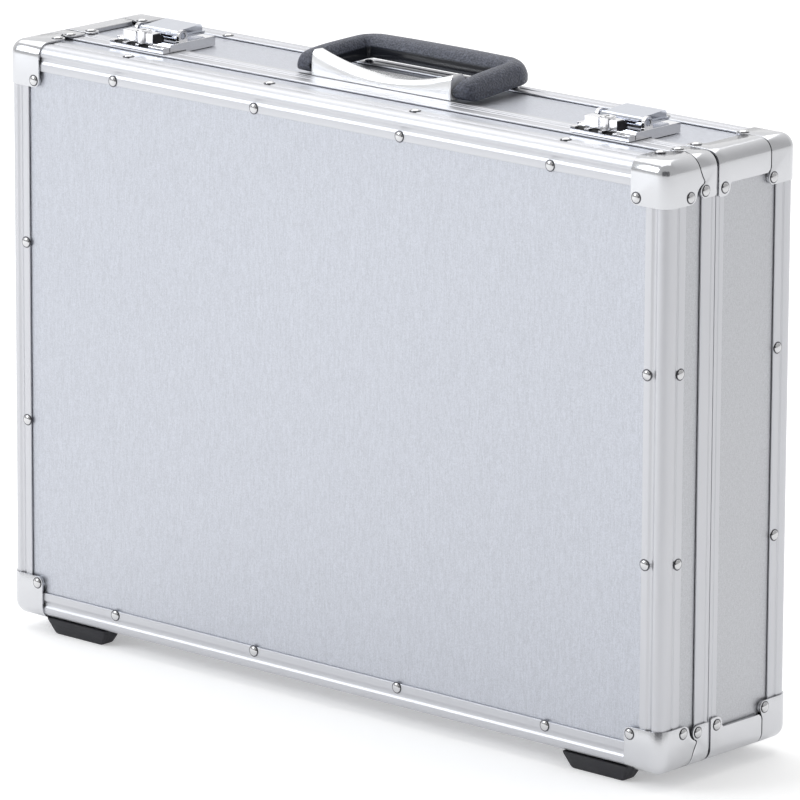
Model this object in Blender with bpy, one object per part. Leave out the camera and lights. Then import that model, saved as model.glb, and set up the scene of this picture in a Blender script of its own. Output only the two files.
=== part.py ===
"""Aluminium attache case, standing upright on its rubber feet with the handle on top.

Frame: metres, +Z up, +X to the right as seen from the lid side, +Y from the lid towards the base shell.
The origin is on the floor, under the middle of the case. The lid is the shallow front shell (at -Y),
the base is the deep rear shell (at +Y), and the piano hinge joins them along the bottom.

Most shapes are laid out in "inset" coordinates: u is the distance inwards from the nearest outer side of the
frame, and v is the distance backwards from the outer face of the lid.
"""

import math

import bmesh
import bpy
from mathutils import Matrix, Vector

MM = 0.001

# ---------------------------------------------------------------- driving dimensions
WIDTH = 460 * MM  # outside of the frame extrusions, along X
HEIGHT = 318 * MM  # outside of the frame extrusions, along Z
DEPTH = 102 * MM  # outside of the frame extrusions, along Y
FOOT_HEIGHT = 9 * MM
PARTING = 38.4 * MM  # v of the plane where the lid meets the base
GAP = 0.3 * MM  # between pieces that touch

SKIN = 1.0 * MM  # wall of the frame extrusions
BOARD = 4.6 * MM  # laminated board with its aluminium skin
BOARD_OUT = SKIN + GAP  # u of the board's outer surface
BOARD_IN = BOARD_OUT + BOARD
EDGE_BLOCK = 6.7 * MM  # solid corner of the edge extrusion
EDGE_ROUND = 6.5 * MM
FACE_FLANGE = 14 * MM
WALL_FLANGE = 15 * MM
CORNER_ROUND = 8 * MM  # of the case's corners, seen from the front

RIM_START = 27.5 * MM  # v where the lid's rim begins on the outside
RIM_LIP_START = 30 * MM  # and on the inside
RIM_WEB = 2.0 * MM
BASE_RIM_END = 45 * MM
BASE_RIM_LIP_END = 48 * MM
TONGUE = (3.4 * MM, 4.8 * MM)  # u of the two sides
TONGUE_LENGTH = 2.6 * MM
GROOVE = (2.9 * MM, 5.5 * MM)
GROOVE_DEPTH = 3.0 * MM

CAP_THICK = 0.9 * MM
CAP_PROUD = GAP + CAP_THICK
CAP_REACH = 22 * MM  # flange of a ball corner, from the outside of the cap
LID_CAP_DEPTH = 25.6 * MM
RIM_CAP_REACH = 22 * MM
ANGLE_REACH = 17 * MM
ANGLE_START = 45.4 * MM
LOBE_END = 49 * MM

HINGE_DROP = 2.6 * MM  # hinge axis below the case's bottom
LEAF_DROP = 0.4 * MM
BARREL = 2.2 * MM
PIN_RADIUS = 0.95 * MM
PIN_BORE = 1.25 * MM
LEAF_V = (2.9 * MM, 12.5 * MM)  # from the parting plane
HINGE_LENGTH = 400 * MM
KNUCKLES = 16

HANDLE_PIVOT_V = 47 * MM
HANDLE_PIVOT_RISE = 5.2 * MM
HANDLE_PIN = 1.2 * MM  # radius of the stubs on the saddle that the grip turns on
HANDLE_BORE = 1.6 * MM
ARM_X = 56 * MM  # middle of an arm at its knuckle
ARM_BACK_X = 53.5 * MM  # and at the crossbar
ARM_HALF = 6.3 * MM
GRIP_BACK_V = 93 * MM
GRIP_BEND = 10 * MM
SADDLE_HALF = ARM_X - 7.4 * MM

LATCH_X = 162 * MM
LATCH_HALF = 19.5 * MM
LEVER_PIVOT_V = 46.5 * MM
LEVER_PIVOT_RISE = 7 * MM
STRIKE_START, STRIKE_END = 27.7 * MM, 32.7 * MM
PLATE_START, PLATE_END = 33.2 * MM, 68.5 * MM
PLATE_TOP = 4.4 * MM  # above the top frame
LOCK_BASE = 3.7 * MM  # the lock block hangs over the keeper
PLUG_V = 33.6 * MM
PLUG_RADIUS = 3.45 * MM
CHEEK = (14.4 * MM, 16.6 * MM)  # from the latch's middle
LEVER_HALF = 14 * MM
COVER_HALF = 12.6 * MM

FOOT_X = 185 * MM
FOOT_V = 8.8 * MM

STAY_PIVOT_OFFSET = 8.6 * MM  # from the parting plane
STAY_PIVOT_RISE = 62 * MM  # above the hinge axis; the links and the pivots make a rhombus

# ---------------------------------------------------------------- derived places
BOTTOM = FOOT_HEIGHT
TOP = BOTTOM + HEIGHT
FRONT = -DEPTH / 2
MIDDLE = (TOP + BOTTOM) / 2
PART_Y = FRONT + PARTING
LID_RIM_END = PARTING - GAP / 2
BASE_RIM_START = PARTING + GAP / 2
BASE_WEB = GROOVE_DEPTH + 0.8 * MM


def y_at(v):
    return FRONT + v


# ---------------------------------------------------------------- materials
def material(name, colour, roughness, metallic):
    made = bpy.data.materials.new(name)
    made.use_nodes = True
    shader = made.node_tree.nodes["Principled BSDF"]
    shader.inputs["Base Color"].default_value = (*colour, 1)
    shader.inputs["Roughness"].default_value = roughness
    shader.inputs["Metallic"].default_value = metallic
    return made


# ---------------------------------------------------------------- mesh tools
def clear_scene():
    for obj in list(bpy.data.objects):
        bpy.data.objects.remove(obj, do_unlink=True)


def finish(name, bm, surface=None, smooth=30):
    """The bmesh as a linked object, with its faces pointing out."""
    bmesh.ops.remove_doubles(bm, verts=bm.verts, dist=1e-6)
    bmesh.ops.recalc_face_normals(bm, faces=bm.faces)
    mesh = bpy.data.meshes.new(name)
    bm.to_mesh(mesh)
    bm.free()
    if surface:
        mesh.materials.append(surface)
    mesh.shade_smooth()
    mesh.set_sharp_from_angle(angle=math.radians(smooth))
    obj = bpy.data.objects.new(name, mesh)
    bpy.context.scene.collection.objects.link(obj)
    return obj


def box(name, low, high, surface=None, bevel=0.0):
    bm = bmesh.new()
    low, high = Vector(low), Vector(high)
    bmesh.ops.create_cube(bm, size=1)
    for vert in bm.verts:
        vert.co = Vector(((vert.co[i] + 0.5) * (high[i] - low[i]) + low[i]) for i in range(3))
    if bevel:
        bmesh.ops.bevel(bm, geom=bm.edges[:], offset=bevel, segments=2, profile=0.5, affect="EDGES")
    return finish(name, bm, surface)


def prism_into(bm, outline, start, end, place):
    """Adds a closed prism: outline is (a, b) points, and place(a, b, t) puts them in space at t."""
    near = [bm.verts.new(place(a, b, start)) for a, b in outline]
    far = [bm.verts.new(place(a, b, end)) for a, b in outline]
    bm.faces.new(near)
    bm.faces.new(far[::-1])
    for i in range(len(outline)):
        j = (i + 1) % len(outline)
        bm.faces.new((near[i], far[i], far[j], near[j]))


def prism(name, outline, start, end, place, surface=None):
    bm = bmesh.new()
    prism_into(bm, outline, start, end, place)
    return finish(name, bm, surface)


def loft(name, sections, surface=None, closed=False, smooth=40):
    """Joins sections of equal length; open ends are capped."""
    bm = bmesh.new()
    rings = [[bm.verts.new(point) for point in section] for section in sections]
    count = len(rings[0])
    pairs = list(zip(rings, rings[1:]))
    if closed:
        pairs.append((rings[-1], rings[0]))
    for first, second in pairs:
        for i in range(count):
            j = (i + 1) % count
            bm.faces.new((first[i], second[i], second[j], first[j]))
    if not closed:
        bm.faces.new(rings[0])
        bm.faces.new(rings[-1][::-1])
    return finish(name, bm, surface, smooth)


def arc(centre, radius, start, end, steps):
    """Points (a, b) on an arc, angles in degrees."""
    return [
        (
            centre[0] + radius * math.cos(math.radians(start + (end - start) * k / steps)),
            centre[1] + radius * math.sin(math.radians(start + (end - start) * k / steps)),
        )
        for k in range(steps + 1)
    ]


def cylinder(name, centre, axis, radius, length, surface=None, sides=16):
    """A solid cylinder centred on a point, along X or Z."""
    turn = {"X": Matrix.Rotation(math.pi / 2, 4, "Y"), "Z": Matrix()}
    bm = bmesh.new()
    bmesh.ops.create_cone(
        bm,
        cap_ends=True,
        segments=sides,
        radius1=radius,
        radius2=radius,
        depth=length,
        matrix=Matrix.Translation(Vector(centre)) @ turn[axis],
    )
    return finish(name, bm, surface)


def helper(obj):
    obj.hide_render = True
    obj.display_type = "WIRE"
    return obj


def combine(obj, other, operation):
    modifier = obj.modifiers.new(operation.lower(), "BOOLEAN")
    modifier.operation = operation
    modifier.solver = "EXACT"
    modifier.object = helper(other)
    return obj


def joined(obj, other):
    return combine(obj, other, "UNION")


def cut(obj, other):
    return combine(obj, other, "DIFFERENCE")


# Places for prisms: each takes the two coordinates of the outline and t along the length.
def side_place(side):
    """Outline (u, v) and length t for a bar on one side of the case."""
    return {
        "top": lambda u, v, t: (t, y_at(v), TOP - u),
        "bottom": lambda u, v, t: (t, y_at(v), BOTTOM + u),
        "left": lambda u, v, t: (-WIDTH / 2 + u, y_at(v), t),
        "right": lambda u, v, t: (WIDTH / 2 - u, y_at(v), t),
    }[side]


def side_span(side, inset):
    """Start and end of a bar on one side, each end inset from the frame's outside."""
    if side in ("top", "bottom"):
        return -WIDTH / 2 + inset, WIDTH / 2 - inset
    return BOTTOM + inset, TOP - inset


SIDES = ("top", "bottom", "left", "right")
CORNERS = {"top_left": (-1, 1), "top_right": (1, 1), "bottom_left": (-1, -1), "bottom_right": (1, -1)}


def corner_point(corner, a, v, b):
    """a and b are distances inwards from the frame's outside, along X and Z."""
    sx, sz = CORNERS[corner]
    return (sx * (WIDTH / 2 - a), y_at(v), MIDDLE + sz * (HEIGHT / 2 - b))


# ---------------------------------------------------------------- shells
def shell_v(shell, v):
    """v measured from the shell's own outer face: from the front for the lid, from the back for the base."""
    return v if shell == "lid" else DEPTH - v


def face_panel(shell, surface):
    """The big laminated board, with its corners cut off under the ball corners."""
    half_w, half_h, chamfer = WIDTH / 2 - EDGE_BLOCK - GAP, HEIGHT / 2 - EDGE_BLOCK - GAP, 4 * MM
    outline = []
    for sx, sz in ((-1, -1), (1, -1), (1, 1), (-1, 1)):
        pair = [(sx * (half_w - chamfer), sz * half_h), (sx * half_w, sz * (half_h - chamfer))]
        outline += pair if sx * sz < 0 else pair[::-1]
    near, far = y_at(shell_v(shell, BOARD_OUT)), y_at(shell_v(shell, BOARD_IN))
    name = "lid_face_panel" if shell == "lid" else "base_back_panel"
    return prism(name, outline, near, far, lambda x, z, t: (x, t, MIDDLE + z), surface)


def wall_panel(shell, side, surface):
    """A wall board. Top and bottom boards cover the side boards' ends and are chamfered to clear the caps."""
    if shell == "lid":
        start, end = EDGE_BLOCK + GAP, LID_RIM_END - RIM_WEB - GAP
    else:
        start, end = BASE_RIM_START + BASE_WEB + GAP, DEPTH - EDGE_BLOCK - GAP
    y0, y1 = y_at(start), y_at(end)
    if side in ("left", "right"):
        sx = -1 if side == "left" else 1
        xs = [sx * (WIDTH / 2 - BOARD_OUT), sx * (WIDTH / 2 - BOARD_IN)]
        low = (min(xs), y0, BOTTOM + BOARD_IN + 1.2 * MM)
        high = (max(xs), y1, TOP - BOARD_IN - 1.2 * MM)
        return box(f"{shell}_wall_{side}", low, high, surface)
    reach, slope = WIDTH / 2 - 1.8 * MM, CORNER_ROUND - 1.8 * MM
    outline = [(-reach, BOARD_IN), (-reach + slope, BOARD_OUT), (reach - slope, BOARD_OUT), (reach, BOARD_IN)]
    place = {
        "top": lambda x, u, t: (x, t, TOP - u),
        "bottom": lambda x, u, t: (x, t, BOTTOM + u),
    }[side]
    return prism(f"{shell}_wall_{side}", outline, y0, y1, place, surface)


def edge_profile():
    """(u, v) of the edge extrusion: a rounded solid corner with flanges over the face and the wall."""
    rounding = arc((EDGE_ROUND, EDGE_ROUND), EDGE_ROUND, 180, 270, 6)
    slant = 1.2 * MM
    return [
        (0, WALL_FLANGE),
        *rounding,
        (FACE_FLANGE, 0),
        (FACE_FLANGE, SKIN),
        (EDGE_BLOCK, SKIN),
        (EDGE_BLOCK, EDGE_BLOCK - slant),
        (EDGE_BLOCK - slant, EDGE_BLOCK),
        (SKIN, EDGE_BLOCK),
        (SKIN, WALL_FLANGE),
    ]


def edge_frame(shell, side, surface):
    outline = [(u, shell_v(shell, v)) for u, v in edge_profile()]
    start, end = side_span(side, FACE_FLANGE + GAP)
    return prism(f"{shell}_edge_{side}", outline, start, end, side_place(side), surface)


def rounded_ring(name, profile, surface):
    """Sweeps (u, v) points round the case, with rounded corners."""
    steps = 5
    sections = []
    for sx, sz, first in ((1, 1, 0), (-1, 1, 90), (-1, -1, 180), (1, -1, 270)):
        cx, cz = sx * (WIDTH / 2 - CORNER_ROUND), MIDDLE + sz * (HEIGHT / 2 - CORNER_ROUND)
        for k in range(steps + 1):
            angle = math.radians(first + 90 * k / steps)
            sections.append(
                [
                    (
                        cx + (CORNER_ROUND - u) * math.cos(angle),
                        y_at(v),
                        cz + (CORNER_ROUND - u) * math.sin(angle),
                    )
                    for u, v in profile
                ]
            )
    return loft(name, sections, surface, closed=True, smooth=30)


def lid_rim(surface):
    """Closing extrusion of the lid: it caps the wall boards and carries the tongue."""
    web, tongue_end = LID_RIM_END - RIM_WEB, LID_RIM_END + TONGUE_LENGTH
    inner, lip = BOARD_IN + GAP, BOARD_IN + GAP + SKIN
    profile = [
        (0, RIM_START),
        (0, LID_RIM_END),
        (TONGUE[0], LID_RIM_END),
        (TONGUE[0], tongue_end),
        (TONGUE[1], tongue_end),
        (TONGUE[1], LID_RIM_END),
        (lip, LID_RIM_END),
        (lip, RIM_LIP_START),
        (inner, RIM_LIP_START),
        (inner, web),
        (SKIN, web),
        (SKIN, RIM_START),
    ]
    return rounded_ring("lid_rim_frame", profile, surface)


def base_rim(surface):
    """Closing extrusion of the base: it caps the wall boards and has the groove for the tongue."""
    start, web, groove_end = BASE_RIM_START, BASE_RIM_START + BASE_WEB, BASE_RIM_START + GROOVE_DEPTH
    inner, lip = BOARD_IN + GAP, BOARD_IN + GAP + SKIN
    profile = [
        (0, start),
        (0, BASE_RIM_END),
        (SKIN, BASE_RIM_END),
        (SKIN, web),
        (inner, web),
        (inner, BASE_RIM_LIP_END),
        (lip, BASE_RIM_LIP_END),
        (lip, start),
        (GROOVE[1], start),
        (GROOVE[1], groove_end),
        (GROOVE[0], groove_end),
        (GROOVE[0], start),
    ]
    return rounded_ring("base_rim_frame", profile, surface)


def ball_corner(shell, corner, surface):
    """A pressed corner cap: three flanges and a rounded outside, folded from one sheet."""
    depth = LID_CAP_DEPTH if shell == "lid" else CAP_REACH
    far = Vector((CAP_REACH, depth, CAP_REACH))
    bm = bmesh.new()
    bmesh.ops.create_cube(bm, size=1)
    for vert in bm.verts:
        vert.co = Vector((vert.co[i] + 0.5) * far[i] for i in range(3))
    hidden = [f for f in bm.faces if any(f.normal[i] > 0.5 for i in range(3))]
    bmesh.ops.delete(bm, geom=hidden, context="FACES")
    folds = [e for e in bm.edges if any(v.co.length < 1e-9 for v in e.verts)]
    bmesh.ops.bevel(
        bm, geom=folds, offset=EDGE_ROUND + CAP_PROUD, segments=4, profile=0.5, affect="EDGES"
    )
    for vert in bm.verts:
        a, v, b = vert.co - Vector((CAP_PROUD, CAP_PROUD, CAP_PROUD))
        vert.co = corner_point(corner, a, shell_v(shell, v), b)
    obj = finish(f"{shell}_ball_corner_{corner}", bm, surface)
    centre = Vector((0, 0, MIDDLE))
    outward = sum(1 for f in obj.data.polygons if f.normal.dot(f.center - centre) > 0)
    if outward < len(obj.data.polygons) / 2:
        obj.data.flip_normals()
    solidify = obj.modifiers.new("sheet", "SOLIDIFY")
    solidify.thickness = CAP_THICK
    solidify.offset = -1
    solidify.use_even_offset = True
    return obj


def angle_outline(reach, inner, outer=-CAP_PROUD, steps=5):
    """(a, b) of a sheet angle round the corner: flanges to reach, between the depths outer and inner."""
    centre = (CORNER_ROUND, CORNER_ROUND)
    outside = arc(centre, CORNER_ROUND - outer, 180, 270, steps)
    inside = arc(centre, CORNER_ROUND - inner, 270, 180, steps)
    end = reach + outer
    return [(outer, end), *outside, (end, outer), (end, inner), *inside, (inner, end)]


def corner_prism(name, corner, outline, start, end, surface=None):
    return prism(name, outline, start, end, lambda a, b, t: corner_point(corner, a, t, b), surface)


def rim_corner(corner, surface):
    """Cap over the corner of the lid's rim."""
    start = LID_CAP_DEPTH - CAP_PROUD + 0.6 * MM
    outline = angle_outline(RIM_CAP_REACH, -GAP)
    return corner_prism(f"lid_rim_corner_{corner}", corner, outline, start, LID_RIM_END - GAP, surface)


def corner_angle(corner, surface):
    """Corner moulding of the deep base shell: thick between the extrusions, with a thin lobe over the rim."""
    end = DEPTH + CAP_PROUD - CAP_REACH - 0.6 * MM
    name = f"base_corner_angle_{corner}"
    body = corner_prism(name, corner, angle_outline(ANGLE_REACH, SKIN), ANGLE_START, end, surface)
    outline = angle_outline(RIM_CAP_REACH, -GAP)
    return joined(body, corner_prism(f"lobe_{corner}", corner, outline, BASE_RIM_START + GAP, LOBE_END))


def lining(shell, surface):
    """Padded tray that lines the shell."""
    outer, thick = BOARD_IN + 0.5 * MM, 1.5 * MM
    open_v = 29.7 * MM if shell == "lid" else DEPTH - 48.4 * MM

    def corners(inset, v):
        half_w, half_h = WIDTH / 2 - inset, HEIGHT / 2 - inset
        y = y_at(shell_v(shell, v))
        return [(sx * half_w, y, MIDDLE + sz * half_h) for sx, sz in ((-1, -1), (1, -1), (1, 1), (-1, 1))]

    sections = [
        corners(outer, outer),
        corners(outer, open_v),
        corners(outer + thick, open_v),
        corners(outer + thick, outer + thick),
    ]
    return loft(f"{shell}_lining", sections, surface)


# ---------------------------------------------------------------- hinge
def curl_outline(direction):
    """(v, z) of a knuckle: the leaf's edge rolled round the pin. direction: -1 lid, 1 base."""
    outer = arc((0, 0), BARREL, 90, 375, 14)
    inner = arc((0, 0), PIN_BORE, 375, 90, 14)
    reach = 4.2 * MM
    points = [(reach, BARREL), *outer, *inner, (reach, PIN_BORE)]
    return [(PARTING + direction * a, BOTTOM - HINGE_DROP + b) for a, b in points]


def hinge_leaf(shell, surface):
    direction = -1 if shell == "lid" else 1
    top = BOTTOM - LEAF_DROP
    thick = BARREL - PIN_BORE
    vs = sorted(PARTING + direction * reach for reach in LEAF_V)
    leaf = box(
        f"hinge_leaf_{shell}",
        (-HINGE_LENGTH / 2, y_at(vs[0]), top - thick),
        (HINGE_LENGTH / 2, y_at(vs[1]), top),
        surface,
    )
    pitch = HINGE_LENGTH / KNUCKLES
    bm = bmesh.new()
    for k in range(0 if shell == "base" else 1, KNUCKLES, 2):
        start = -HINGE_LENGTH / 2 + k * pitch + GAP
        end = start + pitch - 2 * GAP
        prism_into(bm, curl_outline(direction), start, end, lambda v, z, t: (t, y_at(v), z))
    return joined(leaf, finish(f"knuckles_{shell}", bm))


def hinge(surface):
    hinge_leaf("lid", surface)
    hinge_leaf("base", surface)
    centre = (0, PART_Y, BOTTOM - HINGE_DROP)
    cylinder("hinge_pin", centre, "X", PIN_RADIUS, HINGE_LENGTH - 1 * MM, surface, sides=10)


# ---------------------------------------------------------------- handle
# Cross-section of the grip, from the inner bottom: (share across, share of the way up). Across is -1 on the
# inside and 1 at the outer edge. Up is 0 at the bottom, 1 at the outer edge's height and 2 at the top.
GRIP_SHAPE = (
    (-0.8, 0.0),
    (0.0, 0.0),
    (0.78, 0.05),
    (0.97, 0.22),
    (1.0, 0.55),
    (0.99, 0.95),
    (0.9, 1.28),
    (0.72, 1.6),
    (0.38, 1.88),
    (-0.05, 2.0),
    (-0.45, 1.93),
    (-0.76, 1.68),
    (-0.93, 1.3),
    (-1.0, 0.9),
    (-1.0, 0.3),
    (-0.94, 0.05),
)


def grip_section(half_across, low, edge, high):
    """(across, height) points of the grip; edge is the height of its outer edge."""
    points = []
    for across, up in GRIP_SHAPE:
        height = low + (edge - low) * up if up < 1 else edge + (high - edge) * (up - 1)
        points.append((half_across * across, height))
    return points


def grip_stations():
    """One arm to the middle of the crossbar: (x, v, heading in degrees, half across, bottom, edge, top)."""
    knuckle = [(42.3, 3.6, 4.2, 5.5, 7.2), (43.4, 4.9, 2.5, 5.1, 9.2), (45.2, 5.8, 1.2, 4.8, 10.9)]
    arm = [(48.2, 6.2, 0.6, 4.8, 12.0), (53.0, 6.3, 0.9, 5.4, 12.8), (64.0, 6.3, 1.5, 6.1, 13.8)]
    stations = []
    for v, across, low, edge, high in knuckle + arm:
        x = ARM_X + (ARM_BACK_X - ARM_X) * (v * MM - HANDLE_PIVOT_V) / (GRIP_BACK_V - HANDLE_PIVOT_V)
        taper = ARM_HALF - across * MM  # the inner side stays flat beside the saddle
        stations.append((x - taper, v * MM, 90, across * MM, low * MM, edge * MM, high * MM))
    for angle in (0, 22.5, 45, 67.5, 90):
        lean = math.radians(angle)
        x = ARM_BACK_X - GRIP_BEND + GRIP_BEND * math.cos(lean)
        v = GRIP_BACK_V - GRIP_BEND + GRIP_BEND * math.sin(lean)
        share = angle / 90
        half_across, low = (6.3 + 2.1 * share) * MM, (2.6 + share) * MM
        edge, high = (7.5 + 0.7 * share) * MM, (14.8 + 0.6 * share) * MM
        stations.append((x, v, 90 + angle, half_across, low, edge, high))
    stations.append((20 * MM, GRIP_BACK_V, 180, 9.0 * MM, 3.7 * MM, 8.4 * MM, 15.7 * MM))
    return stations


def grip(surface):
    """The black carrying grip: a U that folds back flat over the base, with a blind bore in each knuckle."""
    half = grip_stations()
    other = [(-x, v, 360 - heading, *rest) for x, v, heading, *rest in half[::-1]]
    sections = []
    for x, v, heading, across, low, edge, high in half + other:
        side = Vector((math.cos(math.radians(heading - 90)), math.sin(math.radians(heading - 90)), 0))
        centre = Vector((x, y_at(v), TOP))
        section = grip_section(across, low, edge, high)
        sections.append([centre + side * a + Vector((0, 0, b)) for a, b in section])
    obj = loft("handle_grip", sections, surface)
    for name, sx in (("left", -1), ("right", 1)):
        centre = (sx * (ARM_X - 5 * MM), y_at(HANDLE_PIVOT_V), TOP + HANDLE_PIVOT_RISE)
        cut(obj, cylinder(f"bore_{name}", centre, "X", HANDLE_BORE, 9 * MM, sides=12))
    return obj


def saddle_outline(share):
    """(v, height) of the saddle at a share of its half length: high at the ends, wide in the middle."""
    crown, rear, bench = 5.4 + 8.2 * share**2, 66.5 - 7 * share**2, 3.5 + 0.8 * share**2
    points = [(42.2, 0.3), (42.5, crown * 0.6), (43.4, crown * 0.9), (45.2, crown), (50.8, crown * 0.98)]
    points += [(54.6, bench + (crown - bench) * 0.5), (58.0, bench), (rear - 1.4, bench - 0.4), (rear, 0.3)]
    return [(v * MM, height * MM) for v, height in points]


def handle_base(surface):
    """The silver saddle that carries the grip on a stub at each end."""
    count = 12
    sections = []
    for k in range(count + 1):
        share = -1 + 2 * k / count
        sections.append([(share * SADDLE_HALF, y_at(v), TOP + height) for v, height in saddle_outline(share)])
    obj = loft("handle_base", sections, surface)
    length = 12 * MM
    for name, sx in (("left", -1), ("right", 1)):
        centre = (sx * (ARM_X - 2 * MM - length / 2), y_at(HANDLE_PIVOT_V), TOP + HANDLE_PIVOT_RISE)
        joined(obj, cylinder(f"stub_{name}", centre, "X", HANDLE_PIN, length, sides=12))
    return obj


# ---------------------------------------------------------------- latches
def latch_place(v, rise, t):
    return (t, y_at(v), TOP + rise)


def in_mm(outline):
    return [(v * MM, rise * MM) for v, rise in outline]


def latch_strike(name, centre, surface):
    """Keeper on the lid: a low bar with three pockets, open upwards and, above a low sill, to the front."""
    start, end = STRIKE_START, STRIKE_END
    outline = [(start, GAP), (end, GAP), (end, 3.0 * MM)]
    outline += [(start + 1.1 * MM, 3.3 * MM), (start + 0.3 * MM, 3.3 * MM), (start, 2.9 * MM)]
    low, high = centre - LATCH_HALF, centre + LATCH_HALF
    strike = prism(f"latch_strike_{name}", outline, low, high, latch_place, surface)
    for k, (left, right) in enumerate(((-16.4, -10.4), (-7.5, -1.0), (1.4, 8.5))):
        near = (centre + left * MM, y_at(start + 1.3 * MM), TOP + 1.2 * MM)
        far = (centre + right * MM, y_at(end - 0.8 * MM), TOP + 5 * MM)
        cut(strike, box(f"pocket_{name}_{k}", near, far))
        near = (centre + left * MM, y_at(start - 1 * MM), TOP + 1.9 * MM)
        far = (centre + right * MM, y_at(start + 1.4 * MM), TOP + 5 * MM)
        cut(strike, box(f"notch_{name}_{k}", near, far))
    return strike


def lock_block(name, centre):
    """The block that reaches over the keeper, with the round housing of the key plug in its front."""
    outline = in_mm([(31.0, 3.7), (37.4, 3.7), (37.4, 8.8), (37.0, 9.2), (31.4, 9.2), (31.0, 8.8)])
    block = prism(f"lock_block_{name}", outline, centre - 12.8 * MM, centre + 8.6 * MM, latch_place)
    height = 6.2 * MM
    middle = (centre, y_at(PLUG_V), TOP + LOCK_BASE + height / 2)
    return joined(block, cylinder(f"housing_{name}", middle, "Z", PLUG_RADIUS + 1.15 * MM, height, sides=24))


def latch_body(name, centre, surface):
    """Latch on the base: a plate over the lid's rim, the lock block, and cheeks that hold the lever."""
    step, drop = 45.6 * MM, -1.0 * MM  # the plate's underside steps down from the rim to the board
    plate = [(PLATE_START, GAP), (step, GAP), (step, drop), (PLATE_END, drop)]
    plate += [(PLATE_END, PLATE_TOP - 0.6 * MM), (PLATE_END - 0.6 * MM, PLATE_TOP), (PLATE_START, PLATE_TOP)]
    low, high = centre - LATCH_HALF, centre + LATCH_HALF
    body = prism(f"latch_body_{name}", plate, low, high, latch_place, surface)
    joined(body, lock_block(name, centre))

    cheek = in_mm([(43.3, 3.5), (49.9, 3.5)]) + arc((LEVER_PIVOT_V, LEVER_PIVOT_RISE), 3.3 * MM, 0, 180, 6)
    bm = bmesh.new()
    for side in (-1, 1):
        near, far = sorted(centre + side * reach for reach in CHEEK)
        prism_into(bm, cheek, near, far, latch_place)
    joined(body, finish(f"cheeks_{name}", bm))
    pivot = (centre, y_at(LEVER_PIVOT_V), TOP + LEVER_PIVOT_RISE)
    cut(body, cylinder(f"pivot_hole_{name}", pivot, "X", 1.9 * MM, 3 * LATCH_HALF, sides=12))
    plug_place = (centre, y_at(PLUG_V), TOP + 8.9 * MM)
    return cut(body, cylinder(f"plug_bore_{name}", plug_place, "Z", PLUG_RADIUS + GAP, 8 * MM, sides=20))


def latch_lever(name, centre, surface):
    """Lever with a narrower cover on a flange, turning on a trunnion at each side."""
    flange = arc((LEVER_PIVOT_V, LEVER_PIVOT_RISE), 2.3 * MM, 105, 285, 7)
    flange += in_mm([(48.6, 5.2), (65.2, 5.2), (66.2, 5.9), (66.2, 6.8), (48.8, 6.8)])
    cover = in_mm([(46.2, 6.5), (65.6, 6.5), (65.6, 9.2), (64.6, 10.3), (63.0, 10.4), (46.4, 9.2)])
    low, high = centre - LEVER_HALF, centre + LEVER_HALF
    lever = prism(f"latch_lever_{name}", flange, low, high, latch_place, surface)
    low, high = centre - COVER_HALF, centre + COVER_HALF
    joined(lever, prism(f"lever_cover_{name}", cover, low, high, latch_place))
    pivot = (centre, y_at(LEVER_PIVOT_V), TOP + LEVER_PIVOT_RISE)
    length = 2 * CHEEK[1] - 0.6 * MM
    return joined(lever, cylinder(f"trunnion_{name}", pivot, "X", 1.5 * MM, length, sides=10))


def lock_plug(name, centre, surface):
    """Key plug, turned by the key."""
    middle = (centre, y_at(PLUG_V), TOP + 7.75 * MM)
    plug = cylinder(f"lock_plug_{name}", middle, "Z", PLUG_RADIUS, 5.1 * MM, surface, 20)
    keyway = box(
        f"keyway_{name}",
        (centre - 0.6 * MM, y_at(PLUG_V - 2.4 * MM), TOP + 8.3 * MM),
        (centre + 0.6 * MM, y_at(PLUG_V + 2.4 * MM), TOP + 14 * MM),
    )
    return cut(plug, keyway)


# ---------------------------------------------------------------- feet and stays
def foot(name, x, v, surface):
    """Tapered rubber foot."""
    top, bottom = BOTTOM - GAP, 0.0

    def corners(half_x, half_y, z):
        signs = ((-1, -1), (1, -1), (1, 1), (-1, 1))
        return [(x + sx * half_x, y_at(v) + sy * half_y, z) for sx, sy in signs]

    sections = [
        corners(22 * MM, 6.8 * MM, top),
        corners(17.5 * MM, 4.6 * MM, bottom + 0.8 * MM),
        corners(16.7 * MM, 3.8 * MM, bottom),
    ]
    return loft(name, sections, surface)


def stay_link(name, pivot, knee, layer, side, surface):
    """A flat link with round ends and a boss at its pivot. layer is its (near, far) inset."""
    heading = math.degrees(math.atan2(knee[1] - pivot[1], knee[0] - pivot[0]))
    radius = 4 * MM
    outline = arc(pivot, radius, heading + 90, heading + 270, 6)
    outline += arc(knee, radius, heading - 90, heading + 90, 6)

    def place(y, z, u):
        return (side * (WIDTH / 2 - u), y, z)

    link = prism(name, outline, layer[0], layer[1], place, surface)
    circle = arc(pivot, 2.6 * MM, 0, 330, 11)
    boss = prism(f"boss_{name}", circle, BOARD_IN + 2.4 * MM, layer[0] + 0.5 * MM, place)
    return joined(link, boss)


def stays(surface):
    """Two folding stays of two links each, drawn folded; the links meet at the knee."""
    axis_z = BOTTOM - HINGE_DROP
    knee = (PART_Y, axis_z + 2 * STAY_PIVOT_RISE)
    for name, side in (("left", -1), ("right", 1)):
        base_pivot = (PART_Y + STAY_PIVOT_OFFSET, axis_z + STAY_PIVOT_RISE)
        lid_pivot = (PART_Y - STAY_PIVOT_OFFSET, axis_z + STAY_PIVOT_RISE)
        stay_link(f"base_stay_link_{name}", base_pivot, knee, (10.6 * MM, 12.0 * MM), side, surface)
        stay_link(f"lid_stay_link_{name}", lid_pivot, knee, (8.8 * MM, 10.2 * MM), side, surface)


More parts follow.
